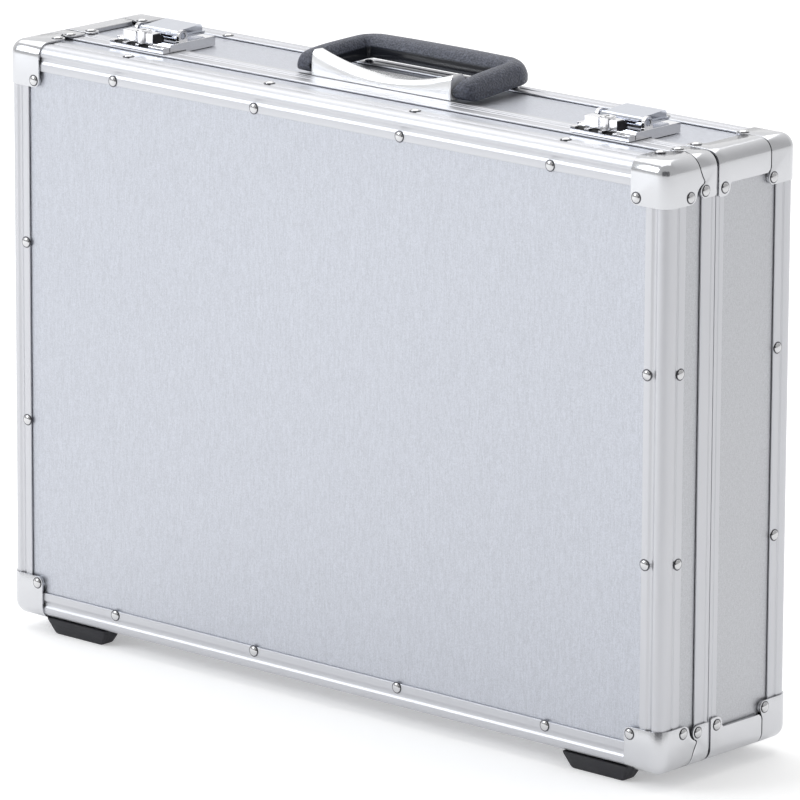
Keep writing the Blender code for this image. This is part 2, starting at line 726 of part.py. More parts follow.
# ---------------------------------------------------------------- assembly
def build():
    clear_scene()
    panel = material("embossed_panel", (0.72, 0.74, 0.78), 0.45, 0.85)
    extrusion = material("anodised_extrusion", (0.82, 0.83, 0.85), 0.32, 0.9)
    cap = material("pressed_cap", (0.86, 0.86, 0.87), 0.22, 1.0)
    chrome = material("chrome", (0.9, 0.9, 0.91), 0.08, 1.0)
    steel = material("plated_steel", (0.75, 0.75, 0.76), 0.3, 1.0)
    black = material("black_plastic", (0.02, 0.02, 0.023), 0.5, 0.0)
    silver = material("silver_plastic", (0.86, 0.87, 0.9), 0.25, 0.6)
    rubber = material("foot_rubber", (0.015, 0.015, 0.017), 0.8, 0.0)
    fabric = material("lining_fabric", (0.05, 0.052, 0.06), 0.95, 0.0)

    for shell in ("lid", "base"):
        face_panel(shell, panel)
        for side in SIDES:
            wall_panel(shell, side, panel)
            edge_frame(shell, side, extrusion)
        for corner in CORNERS:
            ball_corner(shell, corner, cap)
        lining(shell, fabric)
    lid_rim(extrusion)
    base_rim(extrusion)
    for corner in CORNERS:
        rim_corner(corner, cap)
        corner_angle(corner, cap)

    hinge(steel)
    grip(black)
    handle_base(silver)
    for name, centre in (("left", -LATCH_X), ("right", LATCH_X)):
        latch_strike(name, centre, chrome)
        latch_body(name, centre, chrome)
        latch_lever(name, centre, chrome)
        lock_plug(name, centre, chrome)
    for name, x in (("left", -FOOT_X), ("right", FOOT_X)):
        foot(f"foot_front_{name}", x, FOOT_V, rubber)
        foot(f"foot_rear_{name}", x, DEPTH - FOOT_V, rubber)
    stays(steel)


build()
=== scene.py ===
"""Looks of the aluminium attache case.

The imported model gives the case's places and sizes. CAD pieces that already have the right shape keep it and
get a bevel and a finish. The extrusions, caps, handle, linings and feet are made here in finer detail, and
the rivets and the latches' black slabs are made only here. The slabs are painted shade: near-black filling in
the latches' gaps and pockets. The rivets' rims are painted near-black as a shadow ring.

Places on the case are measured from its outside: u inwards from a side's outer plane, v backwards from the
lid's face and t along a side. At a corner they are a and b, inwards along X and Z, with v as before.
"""

import math

import bmesh
import bpy
from mathutils import Matrix, Vector


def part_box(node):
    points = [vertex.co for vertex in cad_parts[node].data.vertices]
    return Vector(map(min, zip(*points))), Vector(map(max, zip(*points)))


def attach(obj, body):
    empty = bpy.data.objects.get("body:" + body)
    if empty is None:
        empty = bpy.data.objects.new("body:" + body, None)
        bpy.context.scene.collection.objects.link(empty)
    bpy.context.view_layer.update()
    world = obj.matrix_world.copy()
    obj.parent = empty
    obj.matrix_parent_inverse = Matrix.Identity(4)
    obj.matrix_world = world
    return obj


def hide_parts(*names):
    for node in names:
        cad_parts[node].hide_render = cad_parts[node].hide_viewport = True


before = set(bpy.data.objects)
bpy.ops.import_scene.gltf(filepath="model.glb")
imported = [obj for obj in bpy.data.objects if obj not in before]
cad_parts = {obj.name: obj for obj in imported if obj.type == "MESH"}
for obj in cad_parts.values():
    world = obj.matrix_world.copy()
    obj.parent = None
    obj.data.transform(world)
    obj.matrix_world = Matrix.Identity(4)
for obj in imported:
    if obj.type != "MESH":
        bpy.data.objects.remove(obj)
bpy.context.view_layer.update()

MM = 0.001


# ---------------------------------------------------------------- places, from the frame
def low(node):
    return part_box(node)[0]


def high(node):
    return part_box(node)[1]


SIDES = ("top", "bottom", "left", "right")
CORNERS = {"top_left": (-1, 1), "top_right": (1, 1), "bottom_left": (-1, -1), "bottom_right": (1, -1)}

HALF_WIDTH = high("lid_edge_right").x
FRONT = low("lid_edge_top").y
DEPTH = high("base_edge_top").y - FRONT
TOP = high("lid_edge_top").z
BOTTOM = low("lid_edge_bottom").z
MIDDLE = (TOP + BOTTOM) / 2
HALF_HEIGHT = (TOP - BOTTOM) / 2
BASE_START = low("base_rim_frame").y - FRONT
LID_END = BASE_START - 0.3 * MM  # the gap between the closed shells
BOARD_OUT = HALF_WIDTH - high("lid_wall_right").x  # the wall boards' two faces
BOARD_IN = HALF_WIDTH - low("lid_wall_right").x
RIM_ROUND = 8 * MM  # corner radius of the rims, seen from the front
CAP_ROUND = 6.4 * MM  # corner radius that the caps are pressed over
CAP_INNER, CAP_OUTER = 0.3 * MM, 1.2 * MM  # the cap sheet's two faces, above the extrusions
RIVET_RADIUS, RIVET_HEIGHT = 3.0 * MM, 1.3 * MM
# A rounded outline's corners: signs across and up, and the angle at which the quarter turn starts.
ROUND_CORNERS = ((1, 1, 0), (-1, 1, 90), (-1, -1, 180), (1, -1, 270))


def mm(points):
    """Outline points given in millimetres."""
    return [(a * MM, b * MM) for a, b in points]


def shell_v(shell, v):
    """Turns a distance from the shell's own outer face into one from the lid's face."""
    return v if shell == "lid" else DEPTH - v


def side_point(side, u, v, t):
    """A place on one side of the case."""
    y = FRONT + v
    return Vector(
        {
            "top": (t, y, TOP - u),
            "bottom": (t, y, BOTTOM + u),
            "left": (-HALF_WIDTH + u, y, t),
            "right": (HALF_WIDTH - u, y, t),
        }[side]
    )


def corner_point(corner, a, v, b):
    """A place near one corner of the case."""
    sx, sz = CORNERS[corner]
    return Vector((sx * (HALF_WIDTH - a), FRONT + v, MIDDLE + sz * (HALF_HEIGHT - b)))


# ---------------------------------------------------------------- mesh tools
def swapped(points):
    """The points with their two coordinates exchanged."""
    return [(b, a) for a, b in points]


def arc(centre, radius, start, end, steps):
    """Points on an arc, angles in degrees."""
    angles = [math.radians(start + (end - start) * k / steps) for k in range(steps + 1)]
    return [(centre[0] + radius * math.cos(t), centre[1] + radius * math.sin(t)) for t in angles]


def smooth_line(points, steps):
    """Catmull-Rom curve through the points, ends included."""
    ends = [2 * points[0] - points[1], *points, 2 * points[-1] - points[-2]]
    line = []
    for p0, p1, p2, p3 in zip(ends, ends[1:], ends[2:], ends[3:]):
        for k in range(steps):
            t = k / steps
            square, cube = 2 * p0 - 5 * p1 + 4 * p2 - p3, 3 * p1 - p0 - 3 * p2 + p3
            line.append(0.5 * (2 * p1 + (p2 - p0) * t + square * t**2 + cube * t**3))
    return line + [points[-1]]


def smooth_loop(points, steps):
    """Catmull-Rom curve round a closed outline."""
    line = smooth_line([points[-1], *points, points[0], points[1]], steps)
    return line[steps : steps * (len(points) + 1)]


def sweep(sections, closed=False):
    """Skins sections of equal length. UV map "grain" holds metres along the path and round the section."""
    bm = bmesh.new()
    grain = bm.loops.layers.uv.new("grain")
    rings = [[bm.verts.new(point) for point in section] for section in sections]
    count = len(sections[0])
    path, girth = [0.0], [0.0]
    for first, second in zip(sections, sections[1:] + sections[:1]):
        path.append(path[-1] + (Vector(second[0]) - Vector(first[0])).length)
    for i in range(count):
        step = Vector(sections[0][(i + 1) % count]) - Vector(sections[0][i])
        girth.append(girth[-1] + step.length)
    for k in range(len(rings) if closed else len(rings) - 1):
        first, second = rings[k], rings[(k + 1) % len(rings)]
        for i in range(count):
            j = (i + 1) % count
            face = bm.faces.new((first[i], second[i], second[j], first[j]))
            corners = ((k, i), (k + 1, i), (k + 1, i + 1), (k, i + 1))
            for loop, (along, around) in zip(face.loops, corners):
                loop[grain].uv = (path[along], girth[around])
    if not closed:
        bm.faces.new(rings[0])
        bm.faces.new(rings[-1][::-1])
    return bm


def prism(outline, start, end, place):
    """The outline carried from start to end. place(first, second, t) gives its points in space."""
    return sweep([[place(a, b, t) for a, b in outline] for t in (start, end)])


def mesh_of(name, bm, smooth=35):
    """Mesh of bm, which it frees, shaded smooth up to an angle in degrees."""
    bmesh.ops.remove_doubles(bm, verts=bm.verts, dist=1e-6)
    bmesh.ops.recalc_face_normals(bm, faces=bm.faces)
    mesh = bpy.data.meshes.new(name)
    bm.to_mesh(mesh)
    bm.free()
    mesh.shade_smooth()
    mesh.set_sharp_from_angle(angle=math.radians(smooth))
    return mesh


def linked(name, mesh):
    obj = bpy.data.objects.new(name, mesh)
    bpy.context.scene.collection.objects.link(obj)
    return obj


def piece(name, mesh, surface, body, slot, *nodes):
    """A finished mesh that rides on a body and stands for some CAD nodes."""
    mesh.materials.append(surface)
    obj = linked(name, mesh)
    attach(obj, body)
    if nodes:
        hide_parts(*nodes)
    return obj


def soften(obj, width, segments=2, angle=40):
    """Rounds sharp edges."""
    bevel = obj.modifiers.new("soft_edges", "BEVEL")
    bevel.width = width
    bevel.segments = segments
    bevel.limit_method = "ANGLE"
    bevel.angle_limit = math.radians(angle)
    bevel.harden_normals = True
    return obj


def carved(name, bm, operations, edge, angle=45):
    """Mesh of bm after Booleans and an edge bevel. operations holds (operation, bmesh) pairs."""
    obj = linked(name, mesh_of(name, bm))
    tools = []
    for operation, other in operations:
        tools.append(linked(f"{name}_tool", mesh_of(f"{name}_tool", other)))
        modifier = obj.modifiers.new(operation.lower(), "BOOLEAN")
        modifier.operation = operation
        modifier.solver = "EXACT"
        modifier.object = tools[-1]
    soften(obj, edge, angle=angle).modifiers["soft_edges"].harden_normals = False
    bpy.context.view_layer.update()
    graph = bpy.context.evaluated_depsgraph_get()
    mesh = bpy.data.meshes.new_from_object(obj.evaluated_get(graph))
    for tool in (obj, *tools):
        bpy.data.objects.remove(tool, do_unlink=True)
    bm = bmesh.new()
    bm.from_mesh(mesh)
    return bm


# ---------------------------------------------------------------- materials
class Surface:
    """A Principled material, with short calls for the nodes that feed it."""

    def __init__(self, name, colour, roughness, metallic=0.0, **constants):
        self.material = bpy.data.materials.new(name)
        self.material.use_nodes = True
        self.tree = self.material.node_tree
        self.shader = self.tree.nodes["Principled BSDF"]
        self.colour = colour
        self.shader.inputs["Base Color"].default_value = (*colour, 1)
        self.shader.inputs["Roughness"].default_value = roughness
        self.shader.inputs["Metallic"].default_value = metallic
        for socket, value in constants.items():
            self.shader.inputs[socket.replace("_", " ")].default_value = value
        self.height = None

    def node(self, kind, links=None, **settings):
        """A new node. links holds its inputs, each another node's output or a constant."""
        made = self.tree.nodes.new(kind)
        for name, value in settings.items():
            setattr(made, name, value)
        for socket, value in (links or {}).items():
            if isinstance(value, bpy.types.NodeSocket):
                self.tree.links.new(value, made.inputs[socket])
            else:
                made.inputs[socket].default_value = value
        return made

    def coordinates(self, stretch, grain_map=False):
        """Object coordinates in metres, or the "grain" UV map, multiplied by stretch per metre."""
        if grain_map:
            source = self.node("ShaderNodeUVMap", uv_map="grain").outputs["UV"]
        else:
            source = self.node("ShaderNodeTexCoord").outputs["Object"]
        return self.node("ShaderNodeMapping", {"Vector": source, "Scale": stretch}).outputs["Vector"]

    def noise(self, where, detail=3.0, roughness=0.55):
        links = {"Vector": where, "Scale": 1.0, "Detail": detail, "Roughness": roughness}
        return self.node("ShaderNodeTexNoise", links).outputs["Fac"]

    def cells(self, where):
        links = {"Vector": where, "Scale": 1.0}
        return self.node("ShaderNodeTexVoronoi", links, feature="SMOOTH_F1").outputs["Distance"]

    def threads(self, where, direction):
        links = {"Vector": where, "Scale": 0.5, "Distortion": 0.6, "Detail": 1.0}
        return self.node("ShaderNodeTexWave", links, bands_direction=direction).outputs["Fac"]

    def span(self, value, low_to, high_to, low_from=0.3, high_from=0.7):
        """value remapped and clamped."""
        links = {"Value": value, "From Min": low_from, "From Max": high_from}
        links |= {"To Min": low_to, "To Max": high_to}
        return self.node("ShaderNodeMapRange", links).outputs["Result"]

    def math(self, operation, first, second):
        return self.node("ShaderNodeMath", {0: first, 1: second}, operation=operation).outputs["Value"]

    def tint(self, value, dark, light):
        """Base colour between two multiples of the material's colour."""
        ramp = self.node("ShaderNodeValToRGB", {"Fac": value})
        for stop, share in zip(ramp.color_ramp.elements, (dark, light)):
            stop.color = (*[min(1.0, c * share) for c in self.colour], 1)
        self.tree.links.new(ramp.outputs["Color"], self.shader.inputs["Base Color"])
        return self

    def roughen(self, value):
        """Roughness from a value."""
        self.tree.links.new(value, self.shader.inputs["Roughness"])
        return self

    def bump(self, value, distance, strength=1.0):
        """Bump of a height in metres, on top of any bump made before."""
        links = {"Height": value, "Distance": distance, "Strength": strength}
        if self.height:
            links["Normal"] = self.height
        self.height = self.node("ShaderNodeBump", links).outputs["Normal"]
        self.tree.links.new(self.height, self.shader.inputs["Normal"])
        return self


def panel_surface(name, stretch, colour, depth):
    """Embossed aluminium skin: fine streaks along the grain, over a finer grain."""
    s = Surface(name, colour, 0.42, 1.0)
    streaks = s.noise(s.coordinates(stretch), detail=4.0, roughness=0.65)
    fine = s.noise(s.coordinates((1700, 1700, 1700)), detail=1.0)
    broad = s.noise(s.coordinates((6, 6, 6)), detail=2.0)
    mixed = s.math("ADD", s.math("MULTIPLY", streaks, 0.55), s.math("MULTIPLY", fine, 0.45))
    s.tint(s.span(mixed, 0.0, 1.0, 0.36, 0.64), 0.84, 1.09)
    s.roughen(s.math("ADD", s.span(streaks, 0.34, 0.48), s.math("MULTIPLY", broad, 0.05)))
    s.bump(streaks, depth, 0.8)
    return s.bump(fine, depth / 3, 0.6).material


def extrusion_surface():
    """Satin anodised aluminium with die lines along each bar."""
    s = Surface("anodised_extrusion", (0.575, 0.580, 0.606), 0.27, 1.0)
    lines = s.noise(s.coordinates((18, 5200, 1), grain_map=True), detail=3.0)
    blotches = s.noise(s.coordinates((22, 22, 22)), detail=2.0)
    s.tint(lines, 0.93, 1.05)
    s.roughen(s.math("ADD", s.span(lines, 0.32, 0.46), s.math("MULTIPLY", blotches, 0.06)))
    return s.bump(lines, 0.00003, 0.5).material


def cap_surface():
    """Bright pressed sheet with a fine linished grain and faint handling marks."""
    s = Surface("pressed_cap", (0.60, 0.605, 0.625), 0.18, 1.0)
    grain = s.noise(s.coordinates((900, 900, 3600)), detail=2.0)
    marks = s.noise(s.coordinates((60, 60, 60)), detail=5.0, roughness=0.7)
    s.tint(marks, 0.95, 1.03)
    s.roughen(s.math("ADD", s.span(grain, 0.10, 0.19), s.math("MULTIPLY", marks, 0.08)))
    s.bump(marks, 0.00006, 0.35)
    return s.bump(grain, 0.00002, 0.4).material


def chrome_surface(name="chrome", colour=(0.90, 0.90, 0.92)):
    """Polished plating with a faint haze."""
    s = Surface(name, colour, 0.07, 1.0)
    haze = s.noise(s.coordinates((140, 140, 140)), detail=4.0)
    s.tint(haze, 0.94, 1.03)
    return s.roughen(s.span(haze, 0.045, 0.13)).bump(haze, 0.00004, 0.25).material


def steel_surface():
    """Plated steel with fine rolling lines along X."""
    s = Surface("plated_steel", (0.72, 0.72, 0.73), 0.3, 1.0)
    lines = s.noise(s.coordinates((90, 3800, 3800)), detail=3.0)
    s.tint(lines, 0.88, 1.08)
    return s.roughen(s.span(lines, 0.2, 0.38)).bump(lines, 0.00004, 0.5).material


def grip_surface():
    """Black moulding: leather-like pebbles, and a smooth inner wall where the attribute "gloss" is high,
    glossier and coloured darkest.
    """
    s = Surface("grip_plastic", (0.088, 0.095, 0.125), 0.42, Specular_IOR_Level=0.38)
    pebbles = s.cells(s.coordinates((1150, 1150, 1150)))
    fine = s.noise(s.coordinates((3200, 3200, 3200)), detail=2.0)
    gloss = s.node("ShaderNodeAttribute", attribute_name="gloss").outputs["Fac"]
    grained = s.math("SUBTRACT", 1.0, gloss)
    s.tint(s.math("MULTIPLY", s.span(pebbles, 0.25, 1.0, 0.15, 0.75), grained), 0.16, 1.35)
    s.roughen(s.math("ADD", s.span(fine, 0.36, 0.5), s.math("MULTIPLY", gloss, -0.28)))
    s.bump(s.math("MULTIPLY", pebbles, grained), 0.0004, 1.0)
    return s.bump(s.math("MULTIPLY", fine, grained), 0.00006, 0.6).material


def saddle_surface():
    """Silver moulding: fine metal flake under a thin clear coat."""
    s = Surface("silver_plastic", (0.96, 0.965, 0.985), 0.3, 0.6, Coat_Weight=0.4, Coat_Roughness=0.08)
    flow = s.noise(s.coordinates((45, 160, 160)), detail=3.0)
    flake = s.noise(s.coordinates((4200, 4200, 4200)), detail=1.0)
    s.tint(flake, 0.93, 1.06)
    return s.roughen(s.span(flow, 0.15, 0.26)).bump(flow, 0.00008, 0.3).material


def rubber_surface(name, colour):
    """Matt black with a fine grain and pale scuffs."""
    s = Surface(name, colour, 0.7, Specular_IOR_Level=0.35)
    grain = s.noise(s.coordinates((1500, 1500, 1500)), detail=4.0, roughness=0.7)
    scuffs = s.noise(s.coordinates((90, 260, 260)), detail=4.0)
    s.tint(scuffs, 0.7, 1.6)
    return s.roughen(s.span(scuffs, 0.55, 0.85)).bump(grain, 0.0002, 0.6).material


def fabric_surface():
    """Woven lining cloth: two crossed sets of threads, with a little sheen."""
    s = Surface("lining_fabric", (0.052, 0.055, 0.064), 0.9, Sheen_Weight=0.25, Sheen_Roughness=0.5)
    cloth = s.coordinates((1050, 1050, 1050))
    weave = s.math("MULTIPLY", s.threads(cloth, "X"), s.threads(cloth, "Z"))
    fuzz = s.noise(s.coordinates((2400, 2400, 2400)), detail=2.0)
    folds = s.noise(s.coordinates((16, 16, 16)), detail=2.0)
    s.tint(s.math("ADD", s.math("MULTIPLY", weave, 0.6), s.math("MULTIPLY", fuzz, 0.4)), 0.55, 1.55)
    s.roughen(s.span(fuzz, 0.8, 1.0))
    s.bump(folds, 0.0012, 0.35)
    return s.bump(s.math("ADD", weave, s.math("MULTIPLY", fuzz, 0.5)), 0.00025, 0.8).material


# The three copies of one skin differ in colour as painted light: the face, back and long walls are painted
# lighter and bluer, as lit, and the end walls darker and more neutral, as shaded.
FRONT_PANEL = panel_surface("panel_face", (1500, 1500, 170), (0.535, 0.552, 0.60), 0.00010)
SIDE_PANEL = panel_surface("panel_side", (1500, 1500, 380), (0.525, 0.532, 0.555), 0.00009)
LONG_PANEL = panel_surface("panel_long", (380, 1500, 1500), (0.54, 0.555, 0.60), 0.00009)
EXTRUSION = extrusion_surface()
CAP = cap_surface()
CHROME = chrome_surface()
LEVER = chrome_surface("satin_chrome", (0.64, 0.665, 0.73))
RIVET = chrome_surface("rivet_steel", (0.60, 0.60, 0.61))
# Near-black painted shadow ring round each rivet head.
RIVET_SHADOW_RING = chrome_surface("rivet_painted_shadow_ring", (0.12, 0.12, 0.13))
STEEL = steel_surface()
GRIP = grip_surface()
SADDLE = saddle_surface()
RUBBER = rubber_surface("foot_rubber", (0.024, 0.024, 0.028))
# Near-black painted shade, for slabs put in the latches' gaps and pockets where there is only shadow.
LATCH_SHADOW_BLACK = rubber_surface("latch_painted_shadow", (0.006, 0.006, 0.008))
FABRIC = fabric_surface()


def finish_node(node, surface, edge=None):
    """A CAD node that keeps its shape: new material and, where it shows, rounded edges."""
    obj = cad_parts[node]
    obj.data.materials.clear()
    obj.data.materials.append(surface)
    if edge:
        weld = obj.modifiers.new("weld", "WELD")
        weld.merge_threshold = 1e-6
        soften(obj, edge, angle=30)


# ---------------------------------------------------------------- boards
def boards():
    """Laminated boards, which keep their CAD shape."""
    for node in ("lid_face_panel", "base_back_panel"):
        finish_node(node, FRONT_PANEL)
    for shell in ("lid", "base"):
        for side in SIDES:
            surface = SIDE_PANEL if side in ("left", "right") else LONG_PANEL
            finish_node(f"{shell}_wall_{side}", surface)


# ---------------------------------------------------------------- extrusions
def flute(start, end, base, depth, steps=8):
    """A shallow hollow between two places along a flange: (place, depth) points."""
    shares = [k / steps for k in range(steps + 1)]
    return [(start + (end - start) * share, base + depth * math.sin(math.pi * share)) for share in shares]


def edge_profile():
    """(u, v) outline: lip, flute and bead on the face, then a bead, a narrow groove and a lip on the wall."""
    face = [(13.85, 1.0), (14.0, 0.85), (14.0, 0.4), (13.88, 0.16), (13.6, 0.04), (13.2, 0.0), (10.3, 0.0)]
    face += [(9.9, 0.05)] + flute(9.55, 5.9, 0.16, 0.66) + [(5.6, 0.04)]
    corner = arc((5.4, 5.4), 5.4, 268, 182, 9)
    wall = [(0.0, 8.2)] + swapped(flute(8.5, 10.3, 0.08, 0.6, 6)) + [(0.0, 10.6), (0.0, 14.4)]
    wall += [(0.04, 14.85), (0.16, 15.15), (0.4, 15.3), (0.85, 15.3), (1.0, 15.15)]
    hidden = [(1.0, 6.7), (5.5, 6.7), (6.7, 5.5), (6.7, 1.0)]
    return mm(face + corner + wall + hidden)


def extrusion_bars():
    """Straight bars along the outer edges of both shells."""
    profile = edge_profile()
    for shell in ("lid", "base"):
        for side in SIDES:
            node = f"{shell}_edge_{side}"
            axis = 0 if side in ("top", "bottom") else 2
            ends = low(node)[axis], high(node)[axis]
            sections = [[side_point(side, u, shell_v(shell, v), t) for u, v in profile] for t in ends]
            mesh = mesh_of(f"{node}_bar", sweep(sections), smooth=28)
            piece(f"{node}_bar", mesh, EXTRUSION, f"{shell}_shell", "anodised_extrusion", node)


def rim_station(centre, degrees, slide, outline):
    """The (u, v) outline at one place on a rounded corner, or slid along the straight beside it."""
    turn = math.radians(degrees)
    out = Vector((math.cos(turn), 0, math.sin(turn)))
    along = Vector((-math.sin(turn), 0, math.cos(turn)))
    base = centre + along * slide
    return [base + out * (RIM_ROUND - u) + Vector((0, FRONT + v, 0)) for u, v in outline]


def ring_sections(profile, corner_profile):
    """(u, v) profile carried round the case; corner_profile takes over under the corner caps."""
    steps = 10
    covered, change = 21 * MM - RIM_ROUND, 0.4 * MM
    sections = []
    for sx, sz, first in ROUND_CORNERS:
        centre = Vector((sx * (HALF_WIDTH - RIM_ROUND), 0, MIDDLE + sz * (HALF_HEIGHT - RIM_ROUND)))
        places = [(first, -covered, profile), (first, change - covered, corner_profile)]
        places += [(first + 90 * k / steps, 0, corner_profile) for k in range(steps + 1)]
        places += [(first + 90, covered - change, corner_profile), (first + 90, covered, profile)]
        sections += [rim_station(centre, *place) for place in places]
    return sections


def rim_profiles(shell):
    """(u, v) outline of a rim along a side, and under the caps, where the joint is chamfered wider."""
    end, start, lip = LID_END / MM, BASE_START / MM, BOARD_IN / MM + 0.3
    if shell == "lid":
        first = [(1.0, 27.65), (0.85, 27.5), (0.4, 27.5), (0.14, 27.62), (0.03, 27.9), (0.0, 28.3)]
        first += [(0.0, 34.2)] + swapped(flute(34.5, 35.7, 0.04, 0.34, 5)) + [(0.0, 36.0)]
        plain = [(0.0, end - 0.5), (0.12, end - 0.14), (0.5, end)]
        wide = [(0.0, end - 0.9), (0.6, end - 0.45), (1.2, end)]
        tongue = [(3.4, end), (3.4, end + 2.3), (3.6, end + 2.6), (4.6, end + 2.6), (4.8, end + 2.3)]
        tongue += [(4.8, end)]
        last = tongue + [(lip + 0.8, end), (lip + 1, end - 0.2), (lip + 1, 30.2), (lip + 0.8, 30)]
        last += [(lip, 30), (lip, end - 2), (1.0, end - 2)]
    else:
        groove = [(5.5, start), (5.5, start + 3), (2.9, start + 3), (2.9, start)]
        first = [(lip, start + 3.8), (lip, 48), (lip + 0.8, 48), (lip + 1, 47.8), (lip + 1, start + 0.2)]
        first += [(lip + 0.8, start)] + groove
        plain = [(0.5, start), (0.12, start + 0.14), (0.0, start + 0.5)]
        wide = [(1.2, start), (0.6, start + 0.45), (0.0, start + 0.9)]
        last = swapped(flute(40.7, 41.7, 0.04, 0.3, 5)) + [(0.0, 42.0), (0.0, 44.4), (0.03, 44.6)]
        last += [(0.14, 44.88), (0.4, 45.0), (0.85, 45.0), (1.0, 44.85), (1.0, start + 3.8)]
    return [mm(first + joint + last) for joint in (plain, wide)]


def rim_frames():
    """Closing rims, each one bar carried all the way round its shell."""
    for shell in ("lid", "base"):
        mesh = mesh_of(f"{shell}_rim", sweep(ring_sections(*rim_profiles(shell)), closed=True), smooth=28)
        piece(f"{shell}_rim", mesh, EXTRUSION, f"{shell}_shell", "anodised_extrusion", f"{shell}_rim_frame")


# ---------------------------------------------------------------- pressed corners
# Everything here is in corner coordinates (a, v, b). On a ball corner, v starts at its shell's outer face.
# A wall outline is (v, inset), where the inset is b on one wall and a on the other.
FAR = 40 * MM  # past every cap
PAST = -4 * MM  # outside the case
SHEET_REACH = 38 * MM  # the ball corner's sheet before it is cut to its outline
SHEET_THICK = 0.9 * MM
SHEET_EDGE = 0.22 * MM  # rounding of a sheet's edges
BOARD_GAP = 0.3 * MM  # clearance over the boards
CAP_REACH = 22.9 * MM  # how far a ball corner's face flange reaches
RIVET_INSET = 19.2 * MM  # rivets of a ball corner
BALL_RIVET_V = {"lid": 17.2 * MM, "base": 19.0 * MM}
RIM_RIVET = (28.9 * MM, 17.4 * MM)  # (v, inset) on the lid's rim cap and on the base's corner angle
ANGLE_RIVET = (44.1 * MM, 18.2 * MM)


def along_v(a, b, v):
    return (a, v, b)


def corner_sheet():
    """Sheet folded over the corner: three flat flanges, rounded folds and a ball."""
    bm = bmesh.new()
    steps = 6
    layers = []
    for rise in (CAP_OUTER, CAP_INNER):
        radius = CAP_ROUND + rise
        fold = [CAP_ROUND - radius * math.tan(math.radians(45 * k / steps)) for k in range(steps, 0, -1)]
        lines = fold + [CAP_ROUND, SHEET_REACH]
        last = len(lines) - 1

        def vert(face, first, second):
            sharp = [first, second]
            sharp.insert(face, -rise)
            centre = Vector([max(place, CAP_ROUND) for place in sharp])
            return bm.verts.new(centre + (Vector(sharp) - centre).normalized() * radius)

        grids = [[[vert(face, first, second) for second in lines] for first in lines] for face in range(3)]
        for grid in grids:
            for i in range(last):
                for j in range(last):
                    bm.faces.new((grid[i][j], grid[i + 1][j], grid[i + 1][j + 1], grid[i][j + 1]))
        layers.append(grids)
    for outer, inner in zip(*layers):
        for k in range(last):
            bm.faces.new((outer[last][k], outer[last][k + 1], inner[last][k + 1], inner[last][k]))
            bm.faces.new((outer[k][last], outer[k + 1][last], inner[k + 1][last], inner[k][last]))
    return bm


def mitred(outline):
    """The wall outline carried through both walls, with a mitre at the corner."""
    out = -FAR / 4
    along_x = [(out, v, inset) for v, inset in outline]
    mitre = [(inset, v, inset) for v, inset in outline]
    along_z = [(inset, v, out) for v, inset in outline]
    return sweep([along_x, mitre, along_z])


def lobe(centre, radius, start, end):
    """Rounded end of a flange, round its rivet."""
    return arc(centre, radius, start, end, 10)


def ball_outlines(shell):
    """Face outline (a, b) and wall outline of a ball corner."""
    inset, reach = RIVET_INSET, CAP_REACH
    face = [(PAST, PAST), (reach, PAST), (reach, inset)]
    face += [*lobe((inset, inset), reach - inset, 0, 90), (PAST, reach)]
    if shell == "lid":
        boundary = mm([(23.4, -4), (23.4, 1), (23.8, 4), (24.7, 7), (26.3, 10.2), (27.7, 12.5)])
        boundary += mm([(27.0, 13.3), (25.2, 14.3), (23.6, 15.6), (22.5, 17.3), (22.0, 19.2)])
        boundary += mm([(21.4, 20.9), (20.0, 22.2), (18.0, 22.9)])
    else:
        boundary = mm([(20.7, -4), (20.7, 13.6), (21.4, 15.2)])
        boundary += lobe((BALL_RIVET_V["base"], inset), reach - inset, -30, 90)
    return face, [(PAST, PAST), *boundary, (PAST, boundary[-1][1])]


def angle_sheet(start, end, thick):
    """Sheet bent round the corner's edge, from start to end along v."""
    near, far = -CAP_OUTER, thick - CAP_OUTER
    centre = (CAP_ROUND, CAP_ROUND)
    outline = [(near, FAR), *arc(centre, CAP_ROUND - near, 180, 270, 10), (FAR, near)]
    outline += [(FAR, far), *arc(centre, CAP_ROUND - far, 270, 180, 10), (far, FAR)]
    return prism(outline, start, end, along_v)


def rim_cap_outline():
    """Wall outline of the cap on the lid's rim: along the ball corner's edge, and a lobe round its rivet."""
    edge = mm([(24.1, -4), (24.1, 1), (24.5, 4), (25.4, 7)])
    edge += mm([(27.0, 9.9), (28.5, 12.3), (28.1, 13.3), (27.2, 13.9)])
    radius, chamfer = 3.9 * MM, 1 * MM
    end, far = LID_END - 0.8 * MM, RIM_RIVET[1] + radius
    tip = [(end - chamfer, far), (end, far - chamfer), (end, PAST)]
    return edge + lobe(RIM_RIVET, radius, 232, 90) + tip


def angle_outline():
    """Wall outline of the base's corner angle: a lobe at the rim, and a flange as far as the ball corner."""
    start, rear = BASE_START + 0.8 * MM, DEPTH - 21.4 * MM
    width, radius, chamfer = 16.2 * MM, 4.4 * MM, 1 * MM
    v, inset = ANGLE_RIVET
    front = [(start, PAST), (start, inset + radius - chamfer), (start + chamfer, inset + radius)]
    flange = [(v + 5.2 * MM, width), (rear - 2.2 * MM, width), (rear - 0.4 * MM, width - 1.6 * MM)]
    return front + lobe(ANGLE_RIVET, radius, 90, -10) + flange + [(rear, width - 3.4 * MM), (rear, PAST)]


def bosses(rivet_v):
    """Pads under a ball corner's three rivets, which carry the sheet on the boards beside the flanges."""
    radius, near, far = 3.5 * MM, -0.5 * MM, BOARD_OUT - BOARD_GAP
    flange_end = 15.6 * MM
    face = lobe((RIVET_INSET, RIVET_INSET), radius, 0, 340)
    wall = [(max(v, flange_end), b) for v, b in lobe((rivet_v, RIVET_INSET), radius, 0, 340)]
    return [
        prism(face, near, far, along_v),
        prism(wall, near, far, lambda v, b, t: (t, v, b)),
        prism(wall, near, far, lambda v, a, t: (a, v, t)),
    ]


